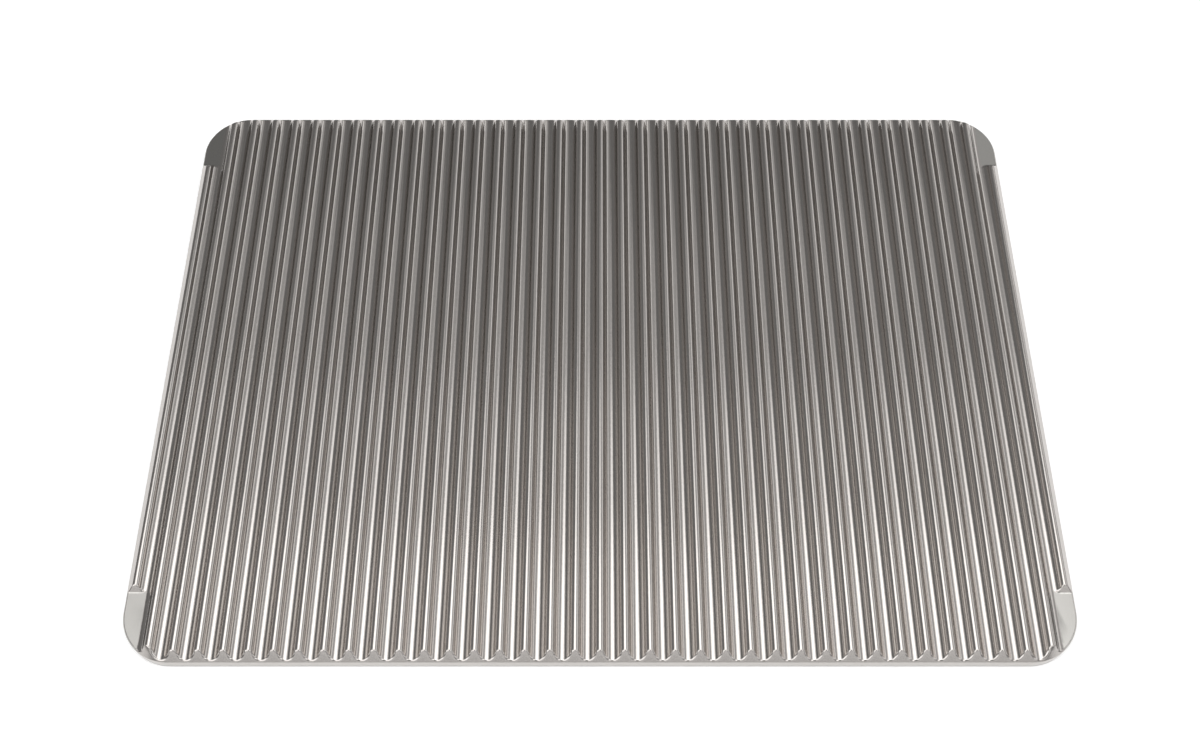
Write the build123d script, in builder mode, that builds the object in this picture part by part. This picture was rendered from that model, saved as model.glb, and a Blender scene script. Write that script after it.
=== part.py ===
from build123d import *
import math
import os

# Ribbed baking plate, one solid piece of aluminium.
# Millimetres. The origin is the centre of the flat underside, +Z is up,
# +X runs along the long side (across the ribs), +Y points to the back.

# driving dimensions
length = 460.0           # overall size along X
depth = 330.0            # overall size along Y
corner_r = 25.0          # plan radius of the four corners
edge_h = 6.0             # height of the upright edge below the bevel
bevel_angle = 50.3       # slope of the bevel all round, degrees from flat
height = 11.2            # underside to the top of the ribs
pitch = 11.905           # rib to rib
floor_h = 6.8            # underside to the floor of the flutes
crest_r = 2.3            # rounding along the top of each rib
ribs_each_side = 18      # full ribs on each side of the middle rib
side_r = 2.0             # rounding over the cut-off rib beside each side bevel
pad_floor_h = 6.8        # underside to the flat corner pads
pad_x = 220.2425         # foot of the pad's inner wall, on the last flute's floor line
pad_y = 130.4            # foot of the pad's end wall, from the middle
pad_wall = 39.7          # the pad's walls lean out from upright by this many degrees
pad_corner = 2.8         # plan corner cut off the side rib's end, next to the flute
end_round = 1.3          # rounding where the bevel meets the rib ends
edge_round = 0.4         # rounding between the upright edge and the bevel
bottom_break = 0.4       # small bevel round the underside
os.makedirs("parts", exist_ok=True)

# derived sizes
half_pitch = pitch / 2
rib_h = height - floor_h
flute_r = (half_pitch**2 + rib_h**2) / (2 * rib_h) - crest_r   # crest and flute arcs meet tangent
flute_cz = floor_h + flute_r
crest_cz = height - crest_r
span = ((half_pitch) ** 2 + (flute_cz - crest_cz) ** 2) ** 0.5
tan_x = crest_r * half_pitch / span              # where crest arc meets flute arc
tan_z = crest_cz + crest_r * (flute_cz - crest_cz) / span
slope = math.tan(math.radians(bevel_angle))      # rise over run of the bevel
# the side rib is rounded straight into the side bevel: one arc, tangent to
# the last flute and to the bevel
flute_cx = (ribs_each_side + 0.5) * pitch
reach = flute_r + side_r
norm = (1 + slope**2) ** 0.5
drop = edge_h + slope * (length / 2 - flute_cx) - norm * side_r - flute_cz
side_u = (drop * slope + (norm**2 * reach**2 - drop**2) ** 0.5) / norm**2
side_w = drop - slope * side_u
side_cx = flute_cx + side_u
side_cz = flute_cz + side_w
side_in = (flute_cx + flute_r * side_u / reach, flute_cz + flute_r * side_w / reach)
side_out = (side_cx + side_r * slope / norm, side_cz + side_r / norm)
clear = 20.0                                     # cutters run past the plate

# plain slab: rounded rectangle, upright edge below and a bevel above it
with BuildPart() as ribbed_plate:
    with BuildSketch(Plane.XY) as outline:
        RectangleRounded(length, depth, corner_r)
    extrude(amount=edge_h)
    with BuildSketch(Plane.XY.offset(edge_h)) as bevel_outline:
        RectangleRounded(length, depth, corner_r)
    extrude(amount=height - edge_h, taper=90 - bevel_angle)
    chamfer(ribbed_plate.faces().sort_by(Axis.Z)[0].edges(), length=bottom_break)

    # ribs and flutes: everything above the wave profile is cut away,
    # straight from the front edge to the back edge
    n = ribs_each_side
    with BuildSketch(Plane.XZ.offset(-(depth / 2 + clear))) as wave:
        with BuildLine():
            # left side rib, from the bevel over its rounding to the first floor
            far = length / 2 + clear
            Line((-far, side_out[1]), (-side_out[0], side_out[1]))
            ThreePointArc((-side_out[0], side_out[1]), (-side_cx, side_cz + side_r), (-side_in[0], side_in[1]))
            last = (-flute_cx, floor_h)
            TangentArc(last, (-side_in[0], side_in[1]), tangent=(-1, 0))
            for k in range(-n, n + 1):
                x = k * pitch
                up = (x - tan_x, tan_z)
                top = (x, height)
                down = (x + tan_x, tan_z)
                nxt = (x + half_pitch, floor_h)
                TangentArc(last, up, tangent=(1, 0))
                ThreePointArc(up, top, down)
                TangentArc(nxt, down, tangent=(-1, 0))
                last = nxt
            # right side rib
            TangentArc(last, side_in, tangent=(1, 0))
            ThreePointArc(side_in, (side_cx, side_cz + side_r), side_out)
            Polyline(side_out, (far, side_out[1]), (far, height + clear), (-far, height + clear), (-far, side_out[1]))
        make_face()
    extrude(amount=depth + 2 * clear, mode=Mode.SUBTRACT)

    # corner pads: flat pockets with sloping walls; the side rib stops there
    rise = height - pad_floor_h + 2.0
    for sx in (-1, 1):
        for sy in (-1, 1):
            x0, y0, c = pad_x, pad_y, pad_corner
            x1, y1 = length / 2 + clear, depth / 2 + clear
            points = [(x0, y1), (x0, y0 - c), (x0 + c, y0), (x1, y0), (x1, y1)]
            with BuildSketch(Plane.XY.offset(pad_floor_h)) as pocket:
                with BuildLine():
                    Polyline([(sx * px, sy * py) for px, py in points], close=True)
                make_face()
            extrude(amount=rise, taper=-pad_wall, mode=Mode.SUBTRACT)

    # rounding where the front and back bevels meet the rib ends, and along
    # the top of the upright edge
    def on_bevel(e):
        for u in (0.0, 0.25, 0.5, 0.75, 1.0):
            p = e.position_at(u)
            if abs((abs(p.Y) - depth / 2) * slope + p.Z - edge_h) > 1e-4 or p.Z < edge_h + 0.2:
                return False
        return True

    def on_edge_top(e):
        return all(abs(e.position_at(u).Z - edge_h) < 1e-4 for u in (0.0, 0.5, 1.0))

    fillet(ribbed_plate.edges().filter_by(on_bevel), radius=end_round)
    fillet(ribbed_plate.edges().filter_by(on_edge_top), radius=edge_round)

    print("volume", ribbed_plate.part.volume, "box", ribbed_plate.part.bounding_box())

ribbed_plate.part.label = "ribbed_plate"
export_step(ribbed_plate.part, "parts/ribbed_plate.step")
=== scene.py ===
import math

import bmesh
import bpy
import numpy as np
from mathutils import Matrix, Vector


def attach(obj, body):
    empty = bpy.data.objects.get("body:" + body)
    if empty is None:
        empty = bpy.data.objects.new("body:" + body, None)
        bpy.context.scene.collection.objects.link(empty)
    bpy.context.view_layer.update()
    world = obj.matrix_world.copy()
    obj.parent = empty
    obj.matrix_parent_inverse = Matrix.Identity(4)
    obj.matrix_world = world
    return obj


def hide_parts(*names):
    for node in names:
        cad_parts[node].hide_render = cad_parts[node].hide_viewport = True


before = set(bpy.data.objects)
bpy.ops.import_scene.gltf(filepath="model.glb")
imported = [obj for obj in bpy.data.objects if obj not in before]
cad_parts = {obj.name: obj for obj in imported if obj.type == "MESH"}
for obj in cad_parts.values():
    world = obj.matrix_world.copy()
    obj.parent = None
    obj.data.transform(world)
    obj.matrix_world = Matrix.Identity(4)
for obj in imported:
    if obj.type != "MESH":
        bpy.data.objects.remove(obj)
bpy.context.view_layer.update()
scene = bpy.context.scene

# ---------------------------------------------------------------- camera
# The picture is 1200 x 731. The view is square on to the long side and looks
# down at about 60 degrees.
cam_data = bpy.data.cameras.new("camera")
cam_data.sensor_fit = "HORIZONTAL"
cam_data.sensor_width = 36.0
cam_data.lens = 1397.1 / 1200 * 36.0
cam_data.clip_start = 0.01
cam_data.clip_end = 20.0
camera = bpy.data.objects.new("camera", cam_data)
camera.location = (0.0, -0.3725, 0.6503)
camera.rotation_euler = (math.radians(90 - 60.14), 0.0, 0.0)
scene.collection.objects.link(camera)
scene.camera = camera

# ---------------------------------------------------------------- sizes, mm
HALF_L, HALF_D, CORNER = 230.0, 165.0, 25.0     # half length, half depth, plan corner radius
EDGE_H = 6.0                                     # upright edge below the bevel
BEVEL = math.radians(50.3)                       # slope of the bevel all round
TOP, FLOOR = 11.2, 6.8                           # rib top and flute floor
PITCH, CREST_R = 11.905, 2.3
PAD_X, PAD_Y = 18.5 * PITCH, 130.4               # foot of the walls beside the corner pad
PAD_R = 4.0                                      # plan rounding of the side rib's end
PAD_WALL = math.radians(50.3)                    # slope of those walls
FOOT_R = 1.2                                     # hollow along the foot of the pad's walls
SIDE_R = 2.0                                     # rounding over the cut-off side rib
END_R = 1.3                                      # rounding of the rib ends into the bevel
WALL_R = 0.4                                     # rounding where the side rib's end wall tops out
EDGE_R = 0.4                                     # rounding on top of the upright edge
UNDER_R = 0.4                                    # rounding round the underside

HP = PITCH / 2
RIB = TOP - FLOOR
FLUTE_R = (HP * HP + RIB * RIB) / (2 * RIB) - CREST_R
SPAN = FLUTE_R + CREST_R
TAN_X = CREST_R * HP / SPAN                      # where crest and flute arcs meet
MEET = math.asin(HP / SPAN)                      # slope there
SB, CB, TB = math.sin(BEVEL), math.cos(BEVEL), math.tan(BEVEL)
# the side rib is one arc, tangent to the last flute and to the side bevel
REACH = FLUTE_R + SIDE_R
LIFT = SB * (HALF_L - PAD_X) + CB * (EDGE_H - FLOOR - FLUTE_R) - SIDE_R
SIDE_A = math.acos(-LIFT / REACH) - BEVEL        # slope where it leaves the flute
SIDE_CX, SIDE_CZ = PAD_X + REACH * math.sin(SIDE_A), FLOOR + FLUTE_R - REACH * math.cos(SIDE_A)
SIDE_IN = PAD_X + FLUTE_R * math.sin(SIDE_A)
SIDE_OUT = SIDE_CX + SIDE_R * SB
EDGE_T = EDGE_R * math.tan((math.pi / 2 - BEVEL) / 2)
RING0 = EDGE_T * CB                              # the bevel starts this far in


def wave(x):
    """Height of the rib profile and its slope (rising outwards) at x."""
    u = (x + HP) % PITCH - HP                    # from the nearest crest
    au = np.abs(u)
    uc = np.minimum(au, TAN_X)
    rc = np.sqrt(CREST_R ** 2 - uc ** 2)
    v = np.minimum(HP - au, HP - TAN_X)
    rf = np.sqrt(FLUTE_R ** 2 - v ** 2)
    z = np.where(au < TAN_X, TOP - CREST_R + rc, FLOOR + FLUTE_R - rf)
    slope = np.where(au < TAN_X, uc / rc, v / rf) * -np.sign(u)
    # side rib
    v = np.clip(x - PAD_X, 0, SIDE_IN - PAD_X)
    rf = np.sqrt(FLUTE_R ** 2 - v ** 2)
    t = np.clip(x - SIDE_CX, SIDE_IN - SIDE_CX, SIDE_OUT - SIDE_CX)
    rt = np.sqrt(SIDE_R ** 2 - t ** 2)
    z = np.where(x > PAD_X, np.where(x < SIDE_IN, FLOOR + FLUTE_R - rf, SIDE_CZ + rt), z)
    slope = np.where(x > PAD_X, np.where(x < SIDE_IN, v / rf, -t / rt), slope)
    over = np.maximum(x - SIDE_OUT, 0)
    return z - over * TB, slope


def wave_gap(x, z):
    """Distance above the rib profile (below it: negative) and its direction."""
    u = (x + HP) % PITCH - HP
    u = np.where(x > PAD_X, PITCH / 2 - (x - PAD_X), np.abs(u))
    sign = np.where(x > PAD_X, -1.0, np.sign((x + HP) % PITCH - HP))
    c1x, c1z = u, z - (TOP - CREST_R)            # from the crest arc's centre
    c2x, c2z = u - HP, z - (FLOOR + FLUTE_R)     # from the flute arc's centre
    h1, h2 = np.maximum(np.hypot(c1x, c1z), 1e-9), np.hypot(c2x, c2z)
    on_crest = (c1x * (FLOOR + FLUTE_R - TOP + CREST_R) < c1z * HP) & (x <= PAD_X)
    gap = np.where(on_crest, h1 - CREST_R, FLUTE_R - h2)
    nx = np.where(on_crest, c1x / h1, -c2x / h2) * sign
    nz = np.where(on_crest, c1z / h1, -c2z / h2)
    # side rib and side bevel
    c3x, c3z = x - SIDE_CX, z - SIDE_CZ
    h3 = np.maximum(np.hypot(c3x, c3z), 1e-9)
    on_side = (x > PAD_X) & (c3x * math.cos(SIDE_A) > -c3z * math.sin(SIDE_A))
    on_slope = on_side & (c3x * CB > c3z * SB)
    gap = np.where(on_side, h3 - SIDE_R, gap)
    nx, nz = np.where(on_side, c3x / h3, nx), np.where(on_side, c3z / h3, nz)
    gap = np.where(on_slope, c3x * SB + c3z * CB - SIDE_R, gap)
    return gap, np.where(on_slope, SB, nx), np.where(on_slope, CB, nz)


def inset(x, y):
    """Distance in from the plate's outline, first quadrant."""
    cx, cy = x - (HALF_L - CORNER), y - (HALF_D - CORNER)
    corner = CORNER - np.hypot(cx, cy)
    return np.where((cx > 0) & (cy > 0), corner, np.minimum(HALF_L - x, HALF_D - y))


def outwards(x, y):
    """Unit vector towards the nearest edge of the outline."""
    cx, cy = x - (HALF_L - CORNER), y - (HALF_D - CORNER)
    h = np.maximum(np.hypot(cx, cy), 1e-9)
    turn = (cx > 0) & (cy > 0)
    long = HALF_L - x < HALF_D - y
    return np.where(turn, cx / h, long * 1.0), np.where(turn, cy / h, 1.0 - long)


def pocket(x, y):
    """Height of the corner pad and of the side rib's end wall, and its slope."""
    qx, qy = PAD_X + PAD_R - x, y - (PAD_Y - PAD_R)
    far = np.hypot(np.maximum(qx, 0), np.maximum(qy, 0))
    out = PAD_R - far - np.minimum(np.maximum(qx, qy), 0)
    out = np.where(x < PAD_X, PAD_X - x, out)
    back = FOOT_R * math.tan(PAD_WALL / 2)
    t = np.clip(out + back, 0, FOOT_R * math.sin(PAD_WALL))
    hollow = FOOT_R - np.sqrt(FOOT_R ** 2 - t ** 2)
    wall = out > back * math.cos(PAD_WALL)
    z = FLOOR + np.where(wall, out * math.tan(PAD_WALL), hollow)
    return z, np.where(wall, math.tan(PAD_WALL), t / np.sqrt(FOOT_R ** 2 - t ** 2))


def smooth(t):
    t = np.clip(t, 0, 1)
    return t * t * (3 - 2 * t)


def round_max(a, b, r):
    a, b = a + r, b + r
    return np.hypot(np.maximum(a, 0), np.maximum(b, 0)) + np.minimum(np.maximum(a, b), 0) - r


def fillet_max(a, b, c, r):
    """Two faces at distances a and b, rounded by a ball of radius r. c is the
    cosine of the angle between their directions."""
    c = np.clip(c, -1, 0.9999)
    p, q = a + r, b + r
    inside = (p > q * c) & (q > p * c)
    far = np.sqrt(np.maximum((p - q) ** 2 + 2 * p * q * (1 - c), 0) / (1 - c * c)) - r
    return np.where(inside, far, np.maximum(a, b))


def height(x, y):
    """Top surface in the first quadrant: ribs, pads and bevel, with the edges
    between them rounded."""
    x, y = np.broadcast_arrays(np.asarray(x, float), np.asarray(y, float))
    w, tilt = pocket(x, y)
    nw = np.sqrt(1 + tilt ** 2)
    b = EDGE_H + inset(x, y) * TB
    ox, _ = outwards(x, y)
    # the side rib already runs smoothly into the side bevel
    r_bevel = END_R * (1 - smooth((x - PAD_X) / 1.5))
    # the side rib's end wall is rounded over, the pad's outer edge nearly sharp
    r_wall = (0.1 + (WALL_R - 0.1) * smooth((PAD_Y + 0.4 - y) / 1.2)) * smooth((x - PAD_X - 0.8) / 1.6)
    hi = np.minimum(np.minimum(wave(x)[0], w), b) + 1e-3
    lo = hi - 4.0
    for _ in range(40):
        z = (lo + hi) / 2
        a, nx, nz = wave_gap(x, z)
        f = fillet_max(a, (z - b) * CB, nx * ox * SB + nz * CB, r_bevel)
        f = round_max(f, (z - w) / nw, r_wall)
        lo, hi = np.where(f < 0, z, lo), np.where(f < 0, hi, z)
    return (lo + hi) / 2


# ---------------------------------------------------------------- plate mesh
# One quadrant is laid out, then mirrored twice and joined.
quads = []      # arrays (n, 4, 3)
rings = []      # other faces, each an array (n, 3)


def grid(points):
    """Faces of a (rows, columns, 3) grid."""
    a, b, c, d = points[:-1, :-1], points[:-1, 1:], points[1:, 1:], points[1:, :-1]
    quads.append(np.stack([a, b, c, d], 2).reshape(-1, 4, 3))


# columns across the ribs, denser where the profile turns
crest = CREST_R * np.sin(np.linspace(0, MEET, 9))
flute = HP - FLUTE_R * np.sin(np.linspace(MEET, 0, 11))[1:]
half = np.concatenate([crest, flute])            # crest to floor, 0 to HP
cols = [0.0]
for k in range(37):
    if k % 2 == 0:
        cols += list(k * HP + half[1:])
    else:
        cols += list((k + 1) * HP - half[::-1][1:])
cols = np.array(cols)
cols[-1] = PAD_X


def y_at(x, d):
    """y of the line that lies d inside the outline, at x."""
    cx = np.maximum(x - (HALF_L - CORNER), 0)
    return (HALF_D - CORNER) + np.sqrt((CORNER - d) ** 2 - cx ** 2)


# where the rounding begins and ends in each column
probe = np.linspace(RING0, 9.4, 960)
xs, ds = np.meshgrid(cols, probe, indexing="ij")
ys = y_at(xs, ds)
zz = height(xs, ys)
sharp = np.minimum(wave(xs)[0], EDGE_H + ds * TB)
touched = sharp - zz > 5e-4
first = probe[np.argmax(touched, 1)]
last = probe[len(probe) - 1 - np.argmax(touched[:, ::-1], 1)]

BAND = 11
rows = [np.full_like(cols, RING0), RING0 + np.minimum(0.06, (first - RING0) * 0.3), RING0 + (first - RING0) * 0.6]
for i in range(BAND + 1):
    rows.append(first + (last - first) * i / BAND)
rows.append(last + (9.2 - last) * 0.25)
rows.append(np.full_like(cols, 9.2))
rows = np.array(rows)                            # (rows, columns), distance in from the outline
# the last column also serves the pad's outer edge
pad_in = (FLOOR - EDGE_H) / TB
rows[:BAND + 4, -1] = np.concatenate([
    [RING0, RING0 + 0.06, (RING0 + pad_in) / 2], pad_in + np.array([-0.25, -0.1, 0.0, 0.1, 0.25, 0.45, 0.7, 1.0, 1.3, 1.5, 1.7, 1.8])])
ends_y = y_at(cols[None, :], rows)
ends = np.stack([np.broadcast_to(cols, rows.shape), ends_y, height(cols[None, :], ends_y)], 2)
grid(ends)

SPARSE = np.array([0.0, 28.0, 56.0, 84.0, 108.0, 122.0])
DENSE = np.linspace(122.0, 133.4, 50)
inner_y = np.array([140.0, DENSE[-1]] + list(SPARSE[::-1]))
wz = wave(cols)[0]
inner = [ends[-1]]
for yy in inner_y:
    inner.append(np.stack([cols, np.full_like(cols, yy), wz], 1))
inner = np.array(inner)
cut = 2                                          # the row pair along DENSE meets the finer strip
grid(inner[:cut + 1])
grid(inner[cut:cut + 2, :-1])
grid(inner[cut + 1:])

# outer strip: the cut-off side rib, its sloping ends and the side bevel
ring_d = rows[:BAND + 4, -1]                     # bevel and rounding beside the pad
arc_out = SIDE_CX + SIDE_R * np.sin(np.linspace(BEVEL, -SIDE_A, 21))
arc_in = PAD_X + FLUTE_R * np.sin(np.linspace(SIDE_A, 0, 14))[1:]
side_d = np.concatenate([ring_d, [(ring_d[-1] + HALF_L - arc_out[0]) / 2], HALF_L - arc_out, HALF_L - arc_in])
side_x = HALF_L - side_d[::-1]                   # from the last flute floor outwards
side_x[0] = PAD_X
side_y = np.concatenate([DENSE[::-1], SPARSE[::-1][1:]])
gx, gy = np.meshgrid(side_x, side_y)
strip = np.stack([gx, gy, height(gx, gy)], 2)
grid(strip)
# joins the last rib column to the finer strip
a, b = inner[cut, -2], inner[cut + 1, -2]
rings.append(np.concatenate([[a], strip[:len(DENSE), 0], [b]]))

# ring round the pad: bevel and rounding, from the last rib column to the strip
TURN = 26
ring = []
for d in ring_d:
    start = math.acos((PAD_X - (HALF_L - CORNER)) / (CORNER - d))
    ang = start * (1 - np.linspace(0, 1, TURN + 1))
    px = HALF_L - CORNER + (CORNER - d) * np.cos(ang)
    py = HALF_D - CORNER + (CORNER - d) * np.sin(ang)
    px = np.concatenate([px, [HALF_L - d] * 2])
    py = np.concatenate([py, [136.5, DENSE[-1]]])
    px[0] = PAD_X
    ring.append(np.stack([px, py, height(px, py)], 1))
ring = np.array(ring)
grid(ring)
# the flat of the pad
top_row = strip[0, :len(side_x) - len(ring_d) + 1]
rings.append(np.concatenate([
    ring[-1],                                    # along the rounding, back to side
    top_row[::-1][1:],                           # along the strip, to the flute floor
    inner[1:2, -1],
    ends[BAND + 3:, -1][::-1][:-1],
]))

# upright edge, its roundings and the underside
outline = np.concatenate([ends[0], ring[0][1:], strip[1:, -1]])
cxy = np.stack([np.minimum(outline[:, 0], HALF_L - CORNER), np.minimum(outline[:, 1], HALF_D - CORNER)], 1)
normal = outline[:, :2] - cxy
normal /= np.hypot(normal[:, 0], normal[:, 1])[:, None]
reach = np.hypot(outline[:, 0] - cxy[:, 0], outline[:, 1] - cxy[:, 1])[:, None]
profile = []                                     # (distance in, height)
for a in (math.pi / 2 - BEVEL) * np.array([1, 0.67, 0.33, 0]):
    profile.append((EDGE_R * (1 - math.cos(a)), EDGE_H - EDGE_T + EDGE_R * math.sin(a)))
profile += [(0.0, 3.2)]
for a in np.radians([0, 45, 90]):
    profile.append((UNDER_R * (1 - math.cos(a)), UNDER_R * (1 - math.sin(a))))
skirt = []
for d, z in profile:
    xy = cxy + normal * (reach + RING0 - d)
    xy[0, 0] = 0.0
    xy[-1, 1] = 0.0
    skirt.append(np.concatenate([xy, np.full((len(xy), 1), z)], 1))
skirt[0] = outline
skirt = np.array(skirt)
grid(skirt[::-1])
under = skirt[-1]


def mirrored(face_points, sx, sy):
    out = face_points * np.array([sx, sy, 1.0])
    return out if sx * sy > 0 else out[..., ::-1, :]


all_quads = np.concatenate(quads)
loops, sizes = [], []
for sx in (1, -1):
    for sy in (1, -1):
        q = mirrored(all_quads, sx, sy)
        loops.append(q.reshape(-1, 3))
        sizes += [4] * len(q)
        for r in rings:
            loops.append(mirrored(r, sx, sy))
            sizes.append(len(r))
whole = [under, (under * [1, -1, 1])[::-1][1:], (under * [-1, -1, 1])[1:], (under * [-1, 1, 1])[::-1][1:-1]]
loops.append(np.concatenate(whole)[::1])
sizes.append(len(loops[-1]))
points = np.concatenate(loops)
keys = np.round(points, 5) + 0.0
_, index, inverse = np.unique(keys, axis=0, return_index=True, return_inverse=True)
inverse = inverse.reshape(-1)
verts = points[index] * 0.001
sizes = np.array(sizes)
starts = np.concatenate([[0], np.cumsum(sizes)[:-1]])

mesh = bpy.data.meshes.new("plate_surface")
mesh.vertices.add(len(verts))
mesh.vertices.foreach_set("co", verts.astype(np.float32).ravel())
mesh.loops.add(len(inverse))
mesh.loops.foreach_set("vertex_index", inverse.astype(np.int32))
mesh.polygons.add(len(sizes))
mesh.polygons.foreach_set("loop_start", starts.astype(np.int32))
mesh.update(calc_edges=True)
mesh.validate()
bm = bmesh.new()
bm.from_mesh(mesh)
bmesh.ops.recalc_face_normals(bm, faces=bm.faces)   # every face looks outwards
if bm.calc_volume(signed=True) < 0:
    bmesh.ops.reverse_faces(bm, faces=bm.faces)
bm.to_mesh(mesh)
bm.free()
mesh.polygons.foreach_set("use_smooth", np.ones(len(mesh.polygons), bool))
mesh.update()
plate = bpy.data.objects.new("plate_surface", mesh)
scene.collection.objects.link(plate)
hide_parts("ribbed_plate")
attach(plate, "root")

# ---------------------------------------------------------------- material
# Bare aluminium with a fine satin grain. The ribs carry faint tool lines that
# run along them, the corner pads have a finer and slightly cooler finish, and
# the rib tops are rubbed a little smoother.
BASE_LO, BASE_HI = (0.445, 0.421, 0.402), (0.505, 0.479, 0.458)
PAD_LO, PAD_HI = (0.445, 0.434, 0.413), (0.478, 0.466, 0.444)
ROUGH = 0.165
RELIEF = 0.000012                                # height of the grain, m
mat = bpy.data.materials.new("bare_aluminium")
mat.use_nodes = True
nt = mat.node_tree
nt.nodes.clear()


def maths(op, a, b=None, c=None, clamp=False):
    n = nt.nodes.new("ShaderNodeMath")
    n.operation = op
    n.use_clamp = clamp
    for i, v in enumerate((a, b, c)):
        if v is None:
            continue
        if isinstance(v, bpy.types.NodeSocket):
            nt.links.new(v, n.inputs[i])
        else:
            n.inputs[i].default_value = v
    return n.outputs[0]


def noise(vector, scale, detail=2.0, rough=0.5, squeeze=(1, 1, 1), shift=(0, 0, 0)):
    m = nt.nodes.new("ShaderNodeMapping")
    m.inputs["Scale"].default_value = squeeze
    m.inputs["Location"].default_value = shift
    nt.links.new(vector, m.inputs["Vector"])
    n = nt.nodes.new("ShaderNodeTexNoise")
    n.inputs["Scale"].default_value = scale
    n.inputs["Detail"].default_value = detail
    n.inputs["Roughness"].default_value = rough
    nt.links.new(m.outputs["Vector"], n.inputs["Vector"])
    return n.outputs["Fac"]


def ramp(value, lo, hi, out_lo=0.0, out_hi=1.0, kind="SMOOTHSTEP"):
    m = nt.nodes.new("ShaderNodeMapRange")
    m.interpolation_type = kind
    nt.links.new(value, m.inputs["Value"])
    for key, v in (("From Min", lo), ("From Max", hi), ("To Min", out_lo), ("To Max", out_hi)):
        m.inputs[key].default_value = v
    return m.outputs["Result"]


def mix(fac, a, b):
    m = nt.nodes.new("ShaderNodeMix")
    m.data_type = "RGBA"
    if isinstance(fac, bpy.types.NodeSocket):
        nt.links.new(fac, m.inputs["Factor"])
    else:
        m.inputs["Factor"].default_value = fac
    for name, v in (("A", a), ("B", b)):
        s = [i for i in m.inputs if i.name == name and i.type == "RGBA"][0]
        if isinstance(v, bpy.types.NodeSocket):
            nt.links.new(v, s)
        else:
            s.default_value = (*v, 1)
    return [o for o in m.outputs if o.type == "RGBA"][0]


coords = nt.nodes.new("ShaderNodeTexCoord").outputs["Object"]
split = nt.nodes.new("ShaderNodeSeparateXYZ")
nt.links.new(coords, split.inputs[0])
ax = maths("ABSOLUTE", split.outputs["X"])
ay = maths("ABSOLUTE", split.outputs["Y"])
az = split.outputs["Z"]

grain = noise(coords, 900.0, 2.0, 0.55)                              # about 1 mm
speck = noise(coords, 3200.0, 1.0, 0.5, shift=(0.3, 0.1, 0.2))       # about 0.3 mm
tool = noise(coords, 700.0, 1.0, 0.5, squeeze=(1.0, 0.03, 1.0))      # long lines along the ribs
cloud = noise(coords, 14.0, 2.0, 0.5, shift=(0.7, 0.4, 0.0))         # broad, very faint

# where the pads are: beyond the last flute floor, beyond the side rib's end, low
pad = maths("MULTIPLY",
            maths("MULTIPLY", ramp(ax, 0.2202, 0.2208), ramp(ay, 0.1298, 0.1306)),
            ramp(az, 0.0070, 0.0074, 1.0, 0.0))
top = maths("MULTIPLY", ramp(az, 0.0106, 0.0112), ramp(noise(coords, 260.0, 3.0, 0.6, squeeze=(1.0, 0.08, 1.0)), 0.35, 0.7))
lines = maths("MULTIPLY", tool, maths("SUBTRACT", 1.0, pad))

tone = maths("ADD", maths("MULTIPLY", maths("SUBTRACT", grain, 0.5), 1.5),
             maths("ADD", maths("MULTIPLY", maths("SUBTRACT", speck, 0.5), 0.7),
                   maths("ADD", maths("MULTIPLY", maths("SUBTRACT", tool, 0.5), 0.2),
                         maths("ADD", maths("MULTIPLY", maths("SUBTRACT", cloud, 0.5), 0.5), 0.5))), clamp=True)
warm = mix(tone, BASE_LO, BASE_HI)
cool = mix(tone, PAD_LO, PAD_HI)
colour = mix(pad, warm, cool)

rough = maths("ADD", maths("MULTIPLY", maths("SUBTRACT", grain, 0.5), 0.06),
              maths("ADD", maths("MULTIPLY", maths("SUBTRACT", tool, 0.5), 0.01),
                    maths("SUBTRACT", ROUGH, maths("MULTIPLY", top, 0.015))))

relief = maths("ADD", maths("MULTIPLY", grain, 0.55),
               maths("ADD", maths("MULTIPLY", speck, 0.2), maths("MULTIPLY", lines, 0.06)))
bump = nt.nodes.new("ShaderNodeBump")
bump.inputs["Strength"].default_value = 0.5
bump.inputs["Distance"].default_value = RELIEF
nt.links.new(relief, bump.inputs["Height"])

bsdf = nt.nodes.new("ShaderNodeBsdfPrincipled")
bsdf.inputs["Metallic"].default_value = 1.0
nt.links.new(colour, bsdf.inputs["Base Color"])
nt.links.new(rough, bsdf.inputs["Roughness"])
nt.links.new(bump.outputs["Normal"], bsdf.inputs["Normal"])
out = nt.nodes.new("ShaderNodeOutputMaterial")
nt.links.new(bsdf.outputs["BSDF"], out.inputs["Surface"])
mesh.materials.append(mat)

# ---------------------------------------------------------------- floor and light
floor_mesh = bpy.data.meshes.new("floor")
S = 3.0
floor_mesh.from_pydata([(-S, -S, 0), (S, -S, 0), (S, S, 0), (-S, S, 0)], [], [(0, 1, 2, 3)])
floor = bpy.data.objects.new("floor", floor_mesh)
floor.location = (0, 0, -0.0002)
scene.collection.objects.link(floor)
fmat = bpy.data.materials.new("floor")
fmat.use_nodes = True
fb = fmat.node_tree.nodes["Principled BSDF"]
fb.inputs["Base Color"].default_value = (0.9, 0.9, 0.9, 1)
fb.inputs["Roughness"].default_value = 0.9
fb.inputs["Emission Color"].default_value = (1, 1, 1, 1)
fb.inputs["Emission Strength"].default_value = 0.26
floor_mesh.materials.append(fmat)



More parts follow.
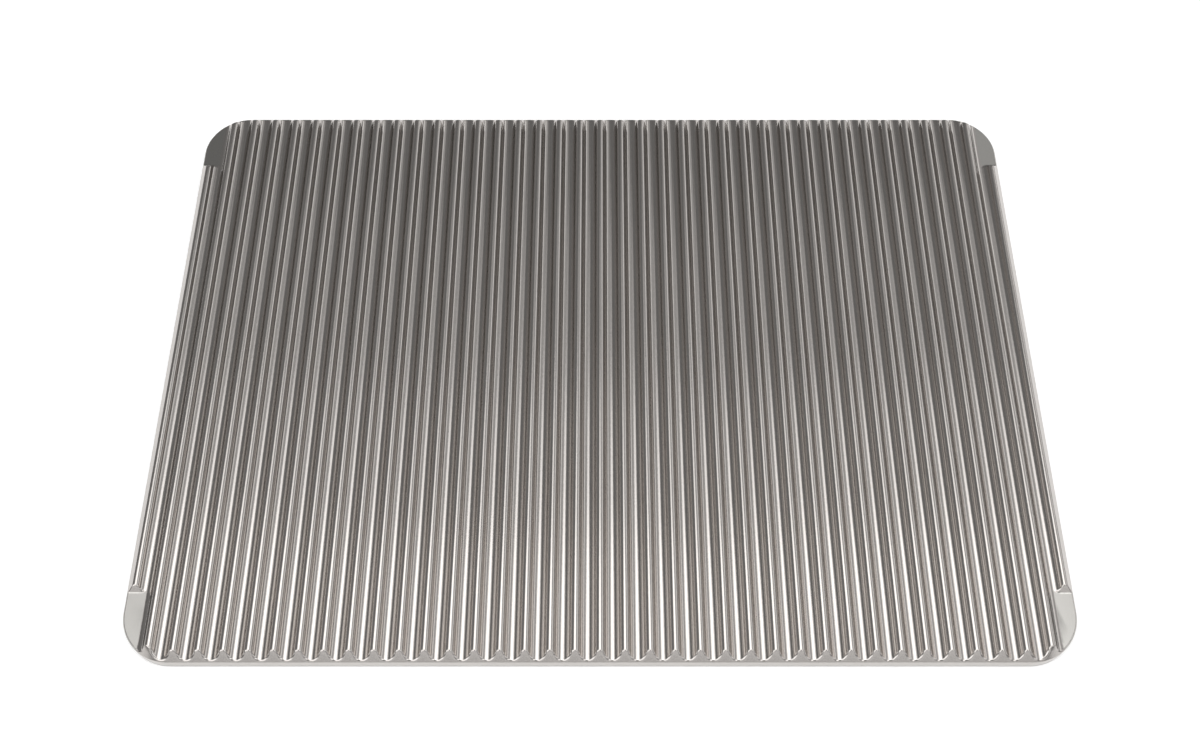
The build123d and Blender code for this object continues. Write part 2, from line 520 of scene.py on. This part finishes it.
def softbox(name, away, left, right, near, far, level):
    """A flat softbox that hangs away metres off the plate and spans the angles
    left to right across the ribs, and near to far along them, in degrees from
    straight up."""
    mid = math.radians((left + right) / 2)
    y0, y1 = away * math.tan(math.radians(near)), away * math.tan(math.radians(far))
    width = 2 * away * math.tan(math.radians((right - left) / 2))
    data = bpy.data.lights.new(name, "AREA")
    data.shape = "RECTANGLE"
    data.size, data.size_y = width, y1 - y0
    data.energy = level * math.pi * width * (y1 - y0)
    lamp = bpy.data.objects.new(name, data)
    lamp.location = (away * math.sin(mid), (y0 + y1) / 2, away * math.cos(mid))
    n = Vector((math.sin(mid), 0, math.cos(mid)))
    along = Vector((0, 1, 0))
    lamp.rotation_euler = Matrix((along.cross(n), along, n)).transposed().to_euler()
    lamp.visible_camera = False
    scene.collection.objects.link(lamp)
    return lamp


softbox("overhead_near", 1.76, -30, 27, -5, 20, 1.15)
softbox("overhead_mid", 1.70, -16, 16, -5, 28, 1.02)
softbox("overhead_far", 1.64, -16, 16, -5, 38, 0.36)
softbox("overhead_front", 1.79, -16, 16, -13, -5, 1.6)
softbox("front_left", 1.82, -62, -6, -52, -9, 1.9)
softbox("front_right", 1.85, 16, 32, -46, -8, 2.2)
softbox("fill_right", 1.67, 18, 50, -30, 50, 0.345)
softbox("key_right", 1.73, 50, 74, -40, 60, 1.0)
softbox("fill_left", 1.70, -75, -60, -40, 60, 0.078)
front = bpy.data.lights.new("front", "AREA")
front.shape = "RECTANGLE"
front.size, front.size_y = 3.0, 0.8
front.energy = 0.72 * math.pi * 3.0 * 0.8
lamp = bpy.data.objects.new("front", front)
lamp.location = (0, -1.8, 0.55)
lamp.rotation_euler = (-Vector(lamp.location)).to_track_quat("-Z", "Y").to_euler()
lamp.visible_camera = False
scene.collection.objects.link(lamp)

world = bpy.data.worlds.new("world")
scene.world = world
world.use_nodes = True
bg = world.node_tree.nodes["Background"]
bg.inputs["Color"].default_value = (1, 1, 1, 1)
bg.inputs["Strength"].default_value = 0.23

scene.view_settings.view_transform = "Standard"
scene.view_settings.look = "None"
